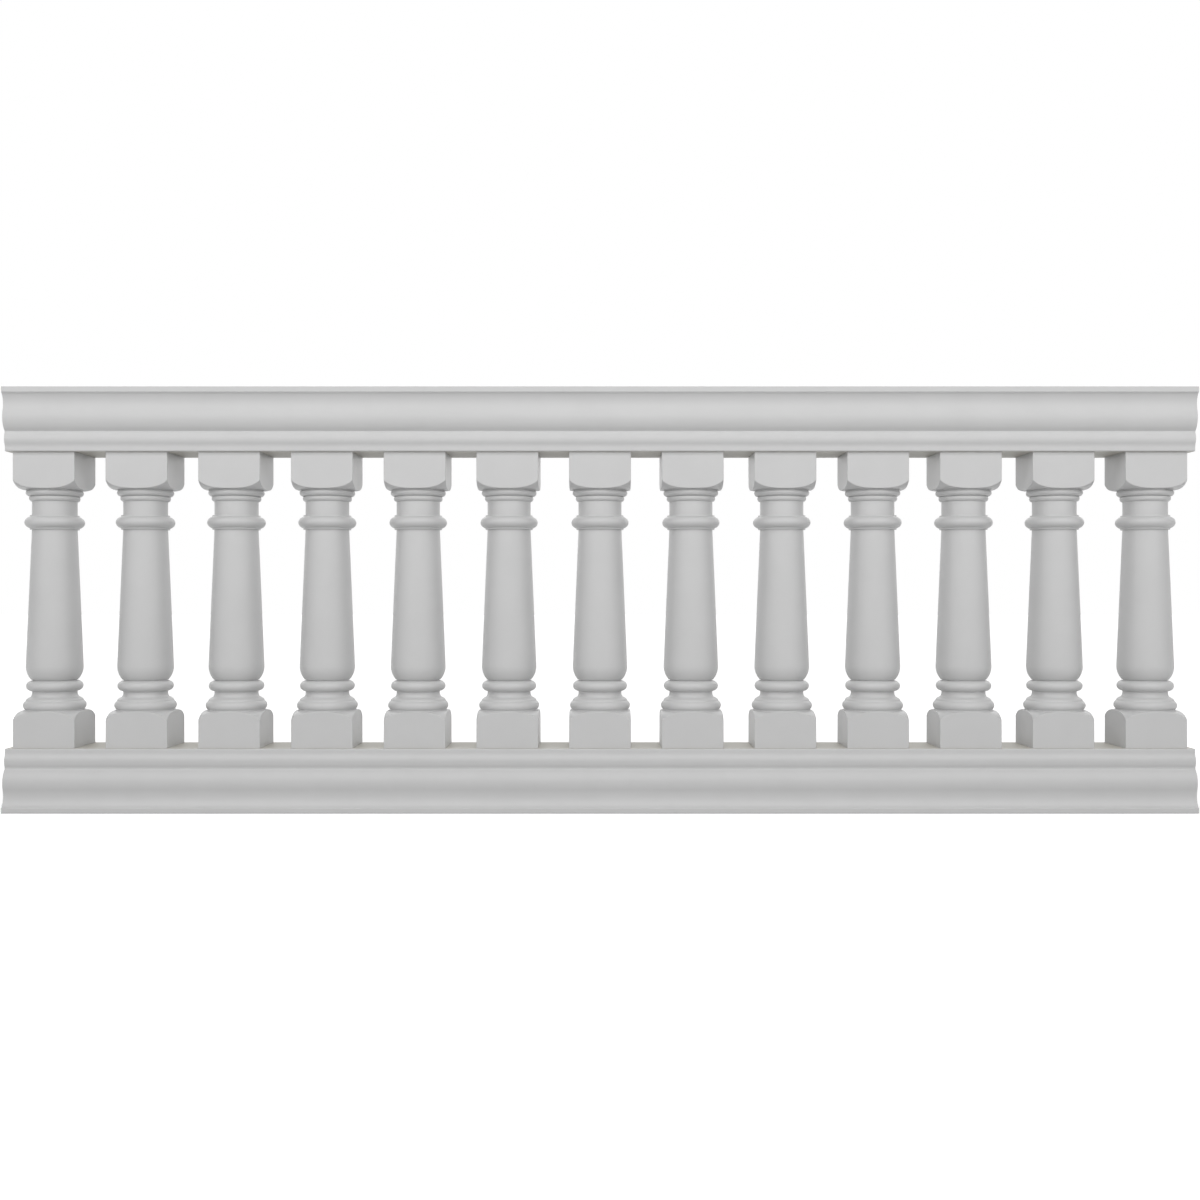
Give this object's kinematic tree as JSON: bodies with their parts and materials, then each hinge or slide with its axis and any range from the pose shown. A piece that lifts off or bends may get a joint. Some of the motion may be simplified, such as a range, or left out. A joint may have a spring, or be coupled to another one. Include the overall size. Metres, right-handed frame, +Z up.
{
  "type": "fiberglass balustrade section",
  "caption": "Straight balustrade section: hollow moulded fiberglass top and bottom rails with turned square-block balusters between them, each pinned to both rails by a steel pipe.",
  "frame": {"origin": "on the floor under the middle of the bottom rail", "axes": "+X along the rails, +Y through the thickness from the front to the back, +Z up"},
  "size_m": [2.4384, 0.182, 0.8699],
  "materials": {
    "fiberglass": "satin light grey gel coat on moulded glass-fibre laminate",
    "steel_pipe": "bright drawn steel pipe"
  },
  "bodies": {
    "root": {"bottom_rail": "fiberglass", "top_rail": "fiberglass", "baluster_01": "fiberglass", "baluster_02": "fiberglass", "baluster_03": "fiberglass", "baluster_04": "fiberglass", "baluster_05": "fiberglass", "baluster_06": "fiberglass", "baluster_07": "fiberglass", "baluster_08": "fiberglass", "baluster_09": "fiberglass", "baluster_10": "fiberglass", "baluster_11": "fiberglass", "baluster_12": "fiberglass", "baluster_13": "fiberglass", "steel_pipe_01": "steel_pipe", "steel_pipe_02": "steel_pipe", "steel_pipe_03": "steel_pipe", "steel_pipe_04": "steel_pipe", "steel_pipe_05": "steel_pipe", "steel_pipe_06": "steel_pipe", "steel_pipe_07": "steel_pipe", "steel_pipe_08": "steel_pipe", "steel_pipe_09": "steel_pipe", "steel_pipe_10": "steel_pipe", "steel_pipe_11": "steel_pipe", "steel_pipe_12": "steel_pipe", "steel_pipe_13": "steel_pipe"}
  },
  "joints": []
}
